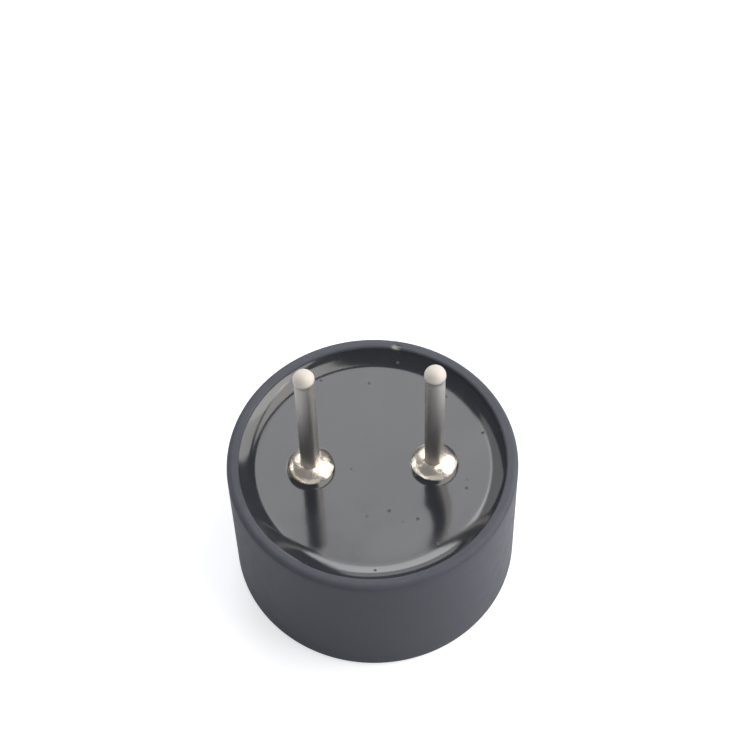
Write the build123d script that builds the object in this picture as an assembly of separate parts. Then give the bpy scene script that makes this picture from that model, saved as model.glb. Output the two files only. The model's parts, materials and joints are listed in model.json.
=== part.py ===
from build123d import *
import os

# Self-driven piezo buzzer with two pins, standing on its sound face, pins up.
# All sizes are in millimetres. The origin is the centre of the sound face,
# +Z points along the pins and +X towards the positive pin.

# Case: a moulded cup, closed by the sound face
CASE_DIAMETER = 12.0
CASE_HEIGHT = 7.0
RIM_WALL = 0.5
BORE_WALL = 0.85
FACE_THICKNESS = 1.0
FACE_EDGE_CHAMFER = 0.2
RIM_EDGE_RADIUS = 0.25
RIM_LIP_CHAMFER = 0.1
SOUND_HOLE_DIAMETER = 2.5
SOUND_HOLE_CHAMFER = 0.1
FRONT_CHAMBER_DEPTH = 1.0
LEDGE_WIDTH = 0.65

# Polarity mark: a ring and a cross sunk into the sound face
MARK_DIAMETER = 2.7
MARK_INSET = 1.9
MARK_GROOVE_WIDTH = 0.28
MARK_GROOVE_DEPTH = 0.12

# Sounding disc: a brass plate on the case's ledge with a ceramic disc on it
DIAPHRAGM_CLEARANCE = 0.15
DIAPHRAGM_THICKNESS = 0.1
CERAMIC_MARGIN = 0.75
CERAMIC_THICKNESS = 0.12
BEAD_HEIGHT = 0.5
BEAD_OVERLAP = 0.3

# Base board, with a raised copper land round each pin
BOARD_THICKNESS = 0.8
BOARD_CLEARANCE = 0.05
LAND_MARGIN = 0.1
LAND_THICKNESS = 0.04
PIN_HOLE_CLEARANCE = 0.05

# Pins: tinned round wire with a stop collar that sits on the land
PIN_PITCH = 5.08
PIN_DIAMETER = 0.8
PIN_REACH = 6.5
PIN_TAIL = 0.3
PIN_TIP_RADIUS = 0.38
COLLAR_DIAMETER = 1.2
COLLAR_HEIGHT = 0.65

# Solder dome over each collar; its bulge is measured over the straight line from foot to top
SOLDER_ROUND_COLLAR = 0.45
SOLDER_OVER_COLLAR = 0.11
SOLDER_BULGE_SHARE = 0.19

# Potting resin over the board: a flat pool that climbs the wall
RESIN_COVER = 0.4
RESIN_RECESS = 0.4
WALL_CREEP_RISE = 0.28
WALL_CREEP_WIDTH = 0.85

# Drive circuit on the inner side of the board
TRANSISTOR_LENGTH = 2.9
TRANSISTOR_WIDTH = 1.3
TRANSISTOR_HEIGHT = 0.95
TRANSISTOR_STANDOFF = 0.08
TRANSISTOR_Y = 1.9
TRANSISTOR_DRAFT_ANGLE = 7
LEG_WIDTH = 0.4
LEG_THICKNESS = 0.12
LEG_PITCH = 0.95
LEG_SPAN = 2.4
LEG_FOOT = 0.35
CHIP_LENGTH = 1.6
CHIP_WIDTH = 0.8
CHIP_HEIGHT = 0.45
CHIP_CAP_LENGTH = 0.3
CHIP_CAP_PROUD = 0.02
CHIP_FIRST_Y = -0.6
CHIP_SPACING = 1.3

# Leads from the board to the sounding disc, each kinked twice in its own upright plane
LEAD_DIAMETER = 0.25
LEAD_PAD_INSET = 1.55
LEAD_END_SHARE = 0.3
DRIVE_LEAD_ANGLE = 37
FEEDBACK_LEAD_ANGLE = -50
PLATE_LEAD_ANGLE = 145
DRIVE_POINT_INSET = 1.75
FEEDBACK_POINT_INSET = 1.15
BOARD_JOINT_DIAMETER = 0.9
BOARD_JOINT_HEIGHT = 0.35
DISC_JOINT_DIAMETER = 0.6
DISC_JOINT_HEIGHT = 0.3

# How far a cut runs past the face that it opens
OVERRUN = 0.5

# Radii and levels that follow from the sizes above
CASE_RADIUS = CASE_DIAMETER / 2
RIM_INNER_RADIUS = CASE_RADIUS - RIM_WALL
BORE_RADIUS = CASE_RADIUS - BORE_WALL
CHAMBER_RADIUS = BORE_RADIUS - LEDGE_WIDTH
HOLE_RADIUS = SOUND_HOLE_DIAMETER / 2
DIAPHRAGM_RADIUS = BORE_RADIUS - DIAPHRAGM_CLEARANCE
CERAMIC_RADIUS = CHAMBER_RADIUS - CERAMIC_MARGIN
PIN_RADIUS = PIN_DIAMETER / 2
PIN_X = PIN_PITCH / 2
COLLAR_RADIUS = COLLAR_DIAMETER / 2
PIN_SOLDER_RADIUS = COLLAR_RADIUS + SOLDER_ROUND_COLLAR
LAND_RADIUS = PIN_SOLDER_RADIUS + LAND_MARGIN
LEAD_RADIUS = LEAD_DIAMETER / 2
LEAD_PAD_RADIUS = BORE_RADIUS - LEAD_PAD_INSET
DRIVE_POINT_RADIUS = CERAMIC_RADIUS - DRIVE_POINT_INSET
FEEDBACK_POINT_RADIUS = CERAMIC_RADIUS - FEEDBACK_POINT_INSET
PLATE_POINT_RADIUS = (CERAMIC_RADIUS + CHAMBER_RADIUS) / 2
LEDGE_Z = FACE_THICKNESS + FRONT_CHAMBER_DEPTH
PLATE_TOP_Z = LEDGE_Z + DIAPHRAGM_THICKNESS
CERAMIC_TOP_Z = PLATE_TOP_Z + CERAMIC_THICKNESS
RESIN_Z = CASE_HEIGHT - RESIN_RECESS
BOARD_TOP_Z = RESIN_Z - RESIN_COVER
BOARD_SEAT_Z = BOARD_TOP_Z - BOARD_THICKNESS
LAND_TOP_Z = BOARD_TOP_Z + LAND_THICKNESS
COLLAR_TOP_Z = LAND_TOP_Z + COLLAR_HEIGHT


def turned(outline, centre_x=0):
    """Solid turned from a closed half section about the upright line at centre_x."""
    section = make_face(outline)
    return Pos(centre_x, 0, 0) * revolve(Plane.XZ * section, Axis.Z)


def rod(radius, low_z, high_z):
    """Upright cylinder on the Z axis between two levels."""
    return turned(Polyline((0, low_z), (radius, low_z), (radius, high_z), (0, high_z), close=True))


def case():
    """Moulded cup: sound face, ledge for the disc, step for the board and a thin rim."""
    wall_top = (CASE_RADIUS, CASE_HEIGHT - RIM_EDGE_RADIUS)
    rim_outer = (CASE_RADIUS - RIM_EDGE_RADIUS, CASE_HEIGHT)
    outline = RadiusArc(wall_top, rim_outer, -RIM_EDGE_RADIUS)
    outline += Polyline(
        rim_outer,
        (RIM_INNER_RADIUS + RIM_LIP_CHAMFER, CASE_HEIGHT),
        (RIM_INNER_RADIUS, CASE_HEIGHT - RIM_LIP_CHAMFER),
        (RIM_INNER_RADIUS, BOARD_SEAT_Z),
        (BORE_RADIUS, BOARD_SEAT_Z),
        (BORE_RADIUS, LEDGE_Z),
        (CHAMBER_RADIUS, LEDGE_Z),
        (CHAMBER_RADIUS, FACE_THICKNESS),
        (HOLE_RADIUS, FACE_THICKNESS),
        (HOLE_RADIUS, SOUND_HOLE_CHAMFER),
        (HOLE_RADIUS + SOUND_HOLE_CHAMFER, 0),
        (CASE_RADIUS - FACE_EDGE_CHAMFER, 0),
        (CASE_RADIUS, FACE_EDGE_CHAMFER),
        wall_top,
    )
    return turned(outline) - polarity_mark()


def polarity_mark():
    """Cutter for the sunk ring and cross beside the positive pin."""
    outer = Circle(MARK_DIAMETER / 2)
    groove = outer - Circle(MARK_DIAMETER / 2 - MARK_GROOVE_WIDTH)
    bars = Rectangle(MARK_DIAMETER, MARK_GROOVE_WIDTH) + Rectangle(MARK_GROOVE_WIDTH, MARK_DIAMETER)
    figure = groove + (bars & outer)
    return Pos(CASE_RADIUS - MARK_INSET, 0, -OVERRUN) * extrude(figure, MARK_GROOVE_DEPTH + OVERRUN)


def bonding_ring():
    """Adhesive bead that fills the gap round the plate and laps over its edge."""
    return turned(
        Polyline(
            (DIAPHRAGM_RADIUS, LEDGE_Z),
            (BORE_RADIUS, LEDGE_Z),
            (BORE_RADIUS, LEDGE_Z + BEAD_HEIGHT),
            (DIAPHRAGM_RADIUS - BEAD_OVERLAP, PLATE_TOP_Z),
            (DIAPHRAGM_RADIUS, PLATE_TOP_Z),
            close=True,
        )
    )


def land():
    """Copper land round a pin, before its hole is drilled."""
    return rod(LAND_RADIUS, BOARD_TOP_Z, LAND_TOP_Z)


def base_board():
    """Round board that closes the back chamber, with its lands and pin holes."""
    board = rod(RIM_INNER_RADIUS - BOARD_CLEARANCE, BOARD_SEAT_Z, BOARD_TOP_Z)
    hole = rod(PIN_RADIUS + PIN_HOLE_CLEARANCE, BOARD_SEAT_Z - OVERRUN, LAND_TOP_Z + OVERRUN)
    for x in (PIN_X, -PIN_X):
        board += Pos(x, 0, 0) * land()
        board -= Pos(x, 0, 0) * hole
    return board


def pin(centre_x):
    """Round pin with a tail through the board, a stop collar and a domed tip."""
    tail_z = BOARD_SEAT_Z - PIN_TAIL
    tip_z = CASE_HEIGHT + PIN_REACH
    tip_start = (PIN_RADIUS, tip_z - PIN_TIP_RADIUS)
    tip_end = (PIN_RADIUS - PIN_TIP_RADIUS, tip_z)
    outline = Polyline(
        tip_end,
        (0, tip_z),
        (0, tail_z),
        (PIN_RADIUS, tail_z),
        (PIN_RADIUS, LAND_TOP_Z),
        (COLLAR_RADIUS, LAND_TOP_Z),
        (COLLAR_RADIUS, COLLAR_TOP_Z),
        (PIN_RADIUS, COLLAR_TOP_Z),
        tip_start,
    )
    outline += RadiusArc(tip_start, tip_end, -PIN_TIP_RADIUS)
    return turned(outline, centre_x)


def pin_solder(centre_x):
    """Dome that covers a pin's collar and wets its land."""
    foot = Vector(PIN_SOLDER_RADIUS, LAND_TOP_Z)
    top = Vector(PIN_RADIUS, COLLAR_TOP_Z + SOLDER_OVER_COLLAR)
    outline = Polyline(
        top,
        (PIN_RADIUS, COLLAR_TOP_Z),
        (COLLAR_RADIUS, COLLAR_TOP_Z),
        (COLLAR_RADIUS, LAND_TOP_Z),
        foot,
    )
    outline += SagittaArc(foot, top, -SOLDER_BULGE_SHARE * (top - foot).length)
    return turned(outline, centre_x)


def potting_resin(pins_and_solder):
    """Resin pool over the board, drawn up the wall, with the pins and their solder standing in it."""
    flat_end = (RIM_INNER_RADIUS - WALL_CREEP_WIDTH, RESIN_Z)
    wall_top = (RIM_INNER_RADIUS, RESIN_Z + WALL_CREEP_RISE)
    outline = Polyline(
        flat_end,
        (0, RESIN_Z),
        (0, BOARD_TOP_Z),
        (RIM_INNER_RADIUS, BOARD_TOP_Z),
        wall_top,
    )
    outline += TangentArc(flat_end, wall_top, tangent=(1, 0))
    pool = turned(outline)
    for x in (PIN_X, -PIN_X):
        pool -= Pos(x, 0, 0) * land()
    return pool - pins_and_solder


def transistor():
    """Three-legged package on the board's inner side, legs bent flat to the board."""
    top_z = BOARD_SEAT_Z - TRANSISTOR_STANDOFF
    middle_z = top_z - TRANSISTOR_HEIGHT / 2
    waist = Pos(0, TRANSISTOR_Y, middle_z) * Rectangle(TRANSISTOR_LENGTH, TRANSISTOR_WIDTH)
    body = extrude(waist, TRANSISTOR_HEIGHT / 2, taper=TRANSISTOR_DRAFT_ANGLE)
    body += extrude(waist, -TRANSISTOR_HEIGHT / 2, taper=TRANSISTOR_DRAFT_ANGLE)
    for x, side in ((0, 1), (LEG_PITCH, -1), (-LEG_PITCH, -1)):
        body += transistor_leg(x, side, middle_z)
    return body


def transistor_leg(x, side, middle_z):
    """Leg from the package's waist out and up to a foot on the board."""
    tip = LEG_SPAN / 2
    knee = tip - LEG_FOOT
    low_z = middle_z - LEG_THICKNESS / 2
    outline = [
        (0, low_z),
        (knee + LEG_THICKNESS, low_z),
        (knee + LEG_THICKNESS, BOARD_SEAT_Z - LEG_THICKNESS),
        (tip, BOARD_SEAT_Z - LEG_THICKNESS),
        (tip, BOARD_SEAT_Z),
        (knee, BOARD_SEAT_Z),
        (knee, low_z + LEG_THICKNESS),
        (0, low_z + LEG_THICKNESS),
    ]
    points = [(TRANSISTOR_Y + side * y, z) for y, z in outline]
    profile = Plane.YZ * make_face(Polyline(*points, close=True))
    return Pos(x, 0, 0) * extrude(profile, LEG_WIDTH / 2, both=True)


def chip_resistor(centre_y):
    """Chip resistor with its two wrapped end caps, lying along X on the inner side."""
    cap_height = CHIP_HEIGHT + 2 * CHIP_CAP_PROUD
    middle_z = BOARD_SEAT_Z - cap_height / 2
    chip = Pos(0, centre_y, middle_z) * Box(CHIP_LENGTH, CHIP_WIDTH, CHIP_HEIGHT)
    cap = Box(CHIP_CAP_LENGTH, CHIP_WIDTH + 2 * CHIP_CAP_PROUD, cap_height)
    for side in (1, -1):
        chip += Pos(side * (CHIP_LENGTH - CHIP_CAP_LENGTH) / 2, centre_y, middle_z) * cap
    return chip


def lead(angle, disc_point_radius, disc_z):
    """Wire from the board down to the disc: upright ends and a slanting run between them."""
    end_run = LEAD_END_SHARE * (BOARD_SEAT_Z - disc_z)
    path = Polyline(
        (LEAD_PAD_RADIUS, 0, BOARD_SEAT_Z),
        (LEAD_PAD_RADIUS, 0, BOARD_SEAT_Z - end_run),
        (disc_point_radius, 0, disc_z + end_run),
        (disc_point_radius, 0, disc_z),
    )
    section = Plane(path @ 0) * Circle(LEAD_RADIUS)
    return Rot(0, 0, angle) * sweep(section, path, transition=Transition.RIGHT)


def lead_joint(angle, radius, foot_diameter, foot_z, height):
    """Cone of solder round one upright end of a lead; a negative height hangs from its foot."""
    foot = (foot_diameter / 2, foot_z)
    outline = Polyline((LEAD_RADIUS, foot_z), foot, (LEAD_RADIUS, foot_z + height), close=True)
    return Rot(0, 0, angle) * turned(outline, radius)


def lead_set(name, angle, disc_point_radius, disc_z):
    """A lead with its joint on the board and its joint on the disc."""
    return {
        f"{name}_lead": lead(angle, disc_point_radius, disc_z),
        f"{name}_board_joint": lead_joint(
            angle, LEAD_PAD_RADIUS, BOARD_JOINT_DIAMETER, BOARD_SEAT_Z, -BOARD_JOINT_HEIGHT
        ),
        f"{name}_disc_joint": lead_joint(
            angle, disc_point_radius, DISC_JOINT_DIAMETER, disc_z, DISC_JOINT_HEIGHT
        ),
    }


def all_parts():
    """Every piece of the buzzer by its name."""
    parts = {
        "case": case(),
        "diaphragm": rod(DIAPHRAGM_RADIUS, LEDGE_Z, PLATE_TOP_Z),
        "piezo_disc": rod(CERAMIC_RADIUS, PLATE_TOP_Z, CERAMIC_TOP_Z),
        "bonding_ring": bonding_ring(),
        "base_board": base_board(),
        "transistor": transistor(),
    }
    for sign, x in (("positive", PIN_X), ("negative", -PIN_X)):
        parts[f"{sign}_pin"] = pin(x)
        parts[f"{sign}_solder"] = pin_solder(x)
    for row, use in enumerate(("load", "bias", "feedback")):
        parts[f"{use}_resistor"] = chip_resistor(CHIP_FIRST_Y - row * CHIP_SPACING)
    parts.update(lead_set("drive", DRIVE_LEAD_ANGLE, DRIVE_POINT_RADIUS, CERAMIC_TOP_Z))
    parts.update(lead_set("feedback", FEEDBACK_LEAD_ANGLE, FEEDBACK_POINT_RADIUS, CERAMIC_TOP_Z))
    parts.update(lead_set("plate", PLATE_LEAD_ANGLE, PLATE_POINT_RADIUS, PLATE_TOP_Z))
    buried = ("positive_pin", "negative_pin", "positive_solder", "negative_solder")
    parts["potting_resin"] = potting_resin([parts[name] for name in buried])
    return parts


os.makedirs("parts", exist_ok=True)
for name, shape in all_parts().items():
    shape.label = name
    export_step(shape, f"parts/{name}.step")
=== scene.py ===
"""Looks of a self-driven piezo buzzer that stands on its sound face with its pins up.

Sizes are in millimetres, and the node trees scale each finished mesh to metres.
+Z points along the pins and +X from the axis towards the positive pin.
"""
import json
import logging
import math
from abc import ABC, abstractmethod
from dataclasses import dataclass
from enum import Enum

import bmesh
import bpy
from mathutils import Matrix, Vector


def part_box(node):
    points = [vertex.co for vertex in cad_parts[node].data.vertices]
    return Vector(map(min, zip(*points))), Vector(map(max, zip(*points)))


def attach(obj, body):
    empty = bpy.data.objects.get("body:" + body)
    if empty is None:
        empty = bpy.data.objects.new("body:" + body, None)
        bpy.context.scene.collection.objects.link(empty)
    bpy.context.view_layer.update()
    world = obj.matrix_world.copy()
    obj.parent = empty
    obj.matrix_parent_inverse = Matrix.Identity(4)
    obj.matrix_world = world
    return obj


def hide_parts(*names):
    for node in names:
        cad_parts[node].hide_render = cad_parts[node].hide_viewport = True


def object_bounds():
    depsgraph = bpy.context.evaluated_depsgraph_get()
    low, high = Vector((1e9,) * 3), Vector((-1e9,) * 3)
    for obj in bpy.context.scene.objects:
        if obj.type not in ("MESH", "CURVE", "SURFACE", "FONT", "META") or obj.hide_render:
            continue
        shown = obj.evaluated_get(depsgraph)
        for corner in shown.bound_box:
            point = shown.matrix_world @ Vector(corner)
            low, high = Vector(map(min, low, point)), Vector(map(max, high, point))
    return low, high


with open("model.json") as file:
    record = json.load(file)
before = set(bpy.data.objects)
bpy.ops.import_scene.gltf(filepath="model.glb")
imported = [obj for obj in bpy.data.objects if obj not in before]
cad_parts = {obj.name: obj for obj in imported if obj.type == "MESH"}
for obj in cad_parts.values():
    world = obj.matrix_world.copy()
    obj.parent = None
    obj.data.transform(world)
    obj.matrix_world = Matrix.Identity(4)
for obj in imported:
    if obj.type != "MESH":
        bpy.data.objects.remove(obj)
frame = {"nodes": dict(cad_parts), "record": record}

CAD_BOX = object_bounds()
MM = 0.001
BODY = "root"
SEAM_GAP = 0.0005
NOISE_MIDDLE = 0.5
LOG = logging.getLogger("buzzer")

Point = tuple[float, float]
Span = tuple[float, float]
Colour = tuple[float, float, float]
Values = dict[str, object]
Socket = bpy.types.NodeSocket


class Polarity(Enum):
    """The two terminals, by the side of the axis that they stand on."""

    POSITIVE = 1
    NEGATIVE = -1

    @property
    def word(self) -> str:
        """The terminal's name as its nodes spell it."""
        return self.name.lower()


class Effect(Enum):
    """Surface effects that several finishes share."""

    GRAIN = "Moulded grain"
    DUST = "Settled dust"
    TARNISH = "Tarnish"


@dataclass(frozen=True)
class Extent:
    """Box of one CAD node in millimetres."""

    low: Vector
    high: Vector

    @classmethod
    def of(cls, node: str) -> "Extent":
        """Measure a node of the frame."""
        low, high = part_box(node)
        return cls(low / MM, high / MM)

    @property
    def radius(self) -> float:
        """Half the box's width."""
        return (self.high.x - self.low.x) / 2

    @property
    def centre_x(self) -> float:
        """Middle of the box along X."""
        return (self.high.x + self.low.x) / 2


def arc(centre: Point, radius: float, start: float, end: float, steps: int) -> list[Point]:
    """Points along a circular arc.

    Args:
        centre: The arc's centre as radius and level.
        radius: The arc's radius.
        start: First angle in degrees.
        end: Last angle in degrees.
        steps: How many stretches the arc has.

    Returns:
        The points, both ends included.
    """
    angles = [math.radians(start + (end - start) * step / steps) for step in range(steps + 1)]
    return [(centre[0] + radius * math.cos(a), centre[1] + radius * math.sin(a)) for a in angles]


def stretch(start: Point, end: Point, steps: int) -> list[Point]:
    """Points along a straight stretch, both ends included."""
    shares = [step / steps for step in range(steps + 1)]
    return [(start[0] + (end[0] - start[0]) * s, start[1] + (end[1] - start[1]) * s) for s in shares]


class Graph:
    """A node tree that is being wired up."""

    def __init__(self, tree: bpy.types.NodeTree) -> None:
        """Keep the tree that takes the nodes."""
        self.tree = tree

    def add(self, kind: str, feeds: dict | None = None, **settings: object) -> bpy.types.Node:
        """Place one node.

        Args:
            kind: Blender's name of the node type.
            feeds: Values or sockets for its inputs, by name or number.
            settings: The node's own properties.

        Returns:
            The node.
        """
        node = self.tree.nodes.new(kind)
        for name, value in settings.items():
            setattr(node, name, value)
        for key, value in (feeds or {}).items():
            self.feed(node, key, value)
        return node

    def feed(self, node: bpy.types.Node, key: str | int, value: object) -> None:
        """Link a socket to an input, or set the input's value.

        Args:
            node: The node that takes it.
            key: The input's name or number.
            value: A socket of another node, or a plain value.
        """
        named = [port for port in node.inputs if port.enabled and port.name == key]
        port = node.inputs[key] if isinstance(key, int) else named[0]
        if isinstance(value, Socket):
            self.tree.links.new(value, port)
        else:
            port.default_value = value

    def out(self, kind: str, feeds: dict | None = None, socket: str | int = 0, **settings: object) -> Socket:
        """Place one node and hand back one of its outputs.

        Args:
            kind: Blender's name of the node type.
            feeds: Values or sockets for its inputs, by name or number.
            socket: The output's name or number.
            settings: The node's own properties.

        Returns:
            The output socket.
        """
        return self.add(kind, feeds, **settings).outputs[socket]

    def math(self, operation: str, *values: object) -> Socket:
        """Work out one number from others."""
        return self.out("ShaderNodeMath", dict(enumerate(values)), operation=operation)

    def vector(self, operation: str, *values: object) -> Socket:
        """Work out one vector from others."""
        return self.out("ShaderNodeVectorMath", dict(enumerate(values)), "Vector", operation=operation)

    def measure(self, operation: str, *values: object) -> Socket:
        """Work out one number from vectors, such as a length."""
        return self.out("ShaderNodeVectorMath", dict(enumerate(values)), "Value", operation=operation)

    def scaled(self, vector: object, factor: object) -> Socket:
        """A vector times a number."""
        return self.out("ShaderNodeVectorMath", {0: vector, "Scale": factor}, "Vector", operation="SCALE")

    def split(self, vector: Socket) -> tuple[Socket, Socket, Socket]:
        """The three parts of a vector."""
        parts = self.add("ShaderNodeSeparateXYZ", {0: vector}).outputs
        return parts[0], parts[1], parts[2]

    def joined(self, x: object, y: object, z: object) -> Socket:
        """A vector made of three numbers."""
        return self.out("ShaderNodeCombineXYZ", {0: x, 1: y, 2: z})

    def ramp(
        self, value: Socket, low: object, high: object, start: object = 0.0, end: object = 1.0
    ) -> Socket:
        """Smooth step from start, at the low value, to end, at the high one.

        Args:
            value: The number that drives the step.
            low: Where the step begins.
            high: Where it ends.
            start: Result at the low value.
            end: Result at the high value.

        Returns:
            The stepped number.
        """
        feeds = {"Value": value, "From Min": low, "From Max": high, "To Min": start, "To Max": end}
        return self.out("ShaderNodeMapRange", feeds, interpolation_type="SMOOTHSTEP")

    def noise(self, place: object, scale: object, seed: object = 0.0, detail: float = 2.0) -> Socket:
        """Soft noise from about 0 to 1.

        Args:
            place: Coordinates that it is read at.
            scale: Its waves per unit length.
            seed: Slides it to another pattern.
            detail: How many finer layers it has.

        Returns:
            The noise's value.
        """
        feeds = {"Vector": place, "W": seed, "Scale": scale, "Detail": detail}
        return self.out("ShaderNodeTexNoise", feeds, noise_dimensions="4D")

    def blend(self, factor: Socket, first: Socket | Colour, second: Socket | Colour) -> Socket:
        """Colour between two others.

        Args:
            factor: 0 for the first colour, 1 for the second.
            first: A socket, or red, green and blue.
            second: The same.

        Returns:
            The mixed colour.
        """
        node = self.add("ShaderNodeMix", data_type="RGBA", clamp_factor=True)
        for key, value in {"Factor": factor, "A": first, "B": second}.items():
            self.feed(node, key, (*value, 1.0) if isinstance(value, tuple) else value)
        return next(port for port in node.outputs if port.enabled)


class GroupTree(Graph):
    """A node group with named inputs and outputs."""

    def __init__(self, name: str, kind: str, inputs: dict[str, str], outputs: dict[str, str]) -> None:
        """Open a group.

        Args:
            name: The group's name.
            kind: Blender's name of the tree type.
            inputs: The socket type of each input.
            outputs: The socket type of each output.
        """
        super().__init__(bpy.data.node_groups.new(name, kind))
        for way, sockets in (("INPUT", inputs), ("OUTPUT", outputs)):
            for label, socket_type in sockets.items():
                self.tree.interface.new_socket(label, in_out=way, socket_type=socket_type)
        self.entry = self.add("NodeGroupInput")
        self.exit = self.add("NodeGroupOutput")

    def given(self, name: str) -> Socket:
        """One of the group's own inputs."""
        return self.entry.outputs[name]

    def give(self, name: str, value: Socket) -> None:
        """Feed one of the group's outputs."""
        self.feed(self.exit, name, value)


class ShapeTree(GroupTree):
    """A Geometry Nodes tree that turns an outline into a finished mesh."""

    KINDS = {
        int: "NodeSocketInt",
        float: "NodeSocketFloat",
        tuple: "NodeSocketVector",
        bpy.types.Object: "NodeSocketObject",
        bpy.types.Material: "NodeSocketMaterial",
    }

    def __init__(self, name: str, values: Values) -> None:
        """Open a tree.

        Args:
            name: The tree's name.
            values: What its inputs besides the geometry are set to, which gives their kinds too.
        """
        mesh = {"Geometry": "NodeSocketGeometry"}
        sizes = {label: self.KINDS[type(value)] for label, value in values.items()}
        super().__init__(name, "GeometryNodeTree", mesh | sizes, mesh)
        self.values = values

    def position(self) -> Socket:
        """Where each point is."""
        return self.out("GeometryNodeInputPosition")

    def moved(self, mesh: Socket, offset: Socket) -> Socket:
        """The mesh with its points shifted."""
        return self.out("GeometryNodeSetPosition", {"Geometry": mesh, "Offset": offset})

    def cut(self, mesh: Socket, tool: Socket) -> Socket:
        """The mesh without the room that another takes."""
        feeds = {"Mesh 1": mesh, "Mesh 2": tool}
        return self.out("GeometryNodeMeshBoolean", feeds, operation="DIFFERENCE", solver="EXACT")

    def turned(self) -> Socket:
        """The closed form that the tree's outline sweeps out about the Z axis."""
        feeds = {"Geometry": self.given("Geometry"), "Segments": self.given("Segments")}
        return self.out("GeometryNodeGroup", feeds, node_tree=turned_form())

    def finished(self, mesh: Socket, crease_angle: float) -> None:
        """Shade the mesh, place it in metres and hand it out.

        Args:
            mesh: The mesh in millimetres about its own axis.
            crease_angle: Edges that turn by more than this, in degrees, stay sharp.
        """
        smooth = self.out("GeometryNodeSetShadeSmooth", {"Geometry": mesh}, domain="FACE")
        bend = self.out("GeometryNodeInputMeshEdgeAngle", socket="Unsigned Angle")
        soft = self.math("LESS_THAN", bend, math.radians(crease_angle))
        feeds = {"Geometry": smooth, "Shade Smooth": soft}
        creased = self.out("GeometryNodeSetShadeSmooth", feeds, domain="EDGE")
        feeds = {
            "Geometry": creased,
            "Translation": self.scaled(self.given("Centre"), MM),
            "Scale": (MM, MM, MM),
        }
        placed = self.out("GeometryNodeTransform", feeds)
        real = self.out("GeometryNodeRealizeInstances", {"Geometry": placed})
        dressed = self.out("GeometryNodeSetMaterial", {"Geometry": real, "Material": self.given("Material")})
        self.give("Geometry", dressed)

    def apply_to(self, piece: bpy.types.Object) -> None:
        """Run the tree and keep the result as a plain mesh.

        Args:
            piece: The object that holds the outline at first, and the mesh afterwards.
        """
        modifier = piece.modifiers.new(self.tree.name, "NODES")
        modifier.node_group = self.tree
        for item in self.tree.interface.items_tree:
            if item.in_out == "INPUT" and item.name in self.values:
                modifier[item.identifier] = self.values[item.name]
        depsgraph = bpy.context.evaluated_depsgraph_get()
        mesh = bpy.data.meshes.new_from_object(piece.evaluated_get(depsgraph))
        piece.modifiers.remove(modifier)
        piece.data = mesh


def turned_form() -> bpy.types.NodeTree:
    """Tree that sweeps a polyline of radius and level about the Z axis; built once.

    Returns:
        The tree, to be placed in others as a group.
    """
    name = "Turned form"
    if name in bpy.data.node_groups:
        return bpy.data.node_groups[name]
    graph = ShapeTree(name, {"Segments": 0})
    profile = graph.given("Geometry")
    segments = graph.given("Segments")
    rows = graph.out("GeometryNodeAttributeDomainSize", {"Geometry": profile}, component="MESH")
    columns = graph.math("ADD", segments, 1)
    grid = graph.out("GeometryNodeMeshGrid", {"Vertices X": columns, "Vertices Y": rows})
    # Half a step keeps the division clear of whole numbers before it is rounded down.
    index = graph.out("GeometryNodeInputIndex")
    column = graph.math("FLOOR", graph.math("DIVIDE", graph.math("ADD", index, 0.5), rows))
    row = graph.math("SUBTRACT", index, graph.math("MULTIPLY", column, rows))
    feeds = {"Geometry": profile, "Value": graph.position(), "Index": row}
    sample = graph.out("GeometryNodeSampleIndex", feeds, data_type="FLOAT_VECTOR", domain="POINT")
    radius, _, level = graph.split(sample)
    angle = graph.math("MULTIPLY", graph.math("DIVIDE", column, segments), math.tau)
    x = graph.math("MULTIPLY", radius, graph.math("COSINE", angle))
    y = graph.math("MULTIPLY", radius, graph.math("SINE", angle))
    feeds = {"Geometry": grid, "Position": graph.joined(x, y, level)}
    swept = graph.out("GeometryNodeSetPosition", feeds)
    closed = graph.out("GeometryNodeMergeByDistance", {"Geometry": swept, "Distance": SEAM_GAP})
    graph.give("Geometry", closed)
    return graph.tree


def outline_object(name: str, points: list[Point]) -> bpy.types.Object:
    """Object that holds an outline as a polyline in the XZ plane.

    Args:
        name: The object's name.
        points: Radius and level of each point, in order.

    Returns:
        The object, linked to the scene.
    """
    mesh = bpy.data.meshes.new(name)
    edges = [(i, i + 1) for i in range(len(points) - 1)]
    mesh.from_pydata([(radius, 0.0, level) for radius, level in points], edges, [])
    piece = bpy.data.objects.new(name, mesh)
    bpy.context.scene.collection.objects.link(piece)
    return piece


def face_outwards(mesh: bpy.types.Mesh) -> None:
    """Turn every face of a closed mesh outwards.

    Args:
        mesh: The mesh, which is changed in place.
    """
    work = bmesh.new()
    work.from_mesh(mesh)
    bmesh.ops.recalc_face_normals(work, faces=work.faces)
    work.to_mesh(mesh)
    work.free()


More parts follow.
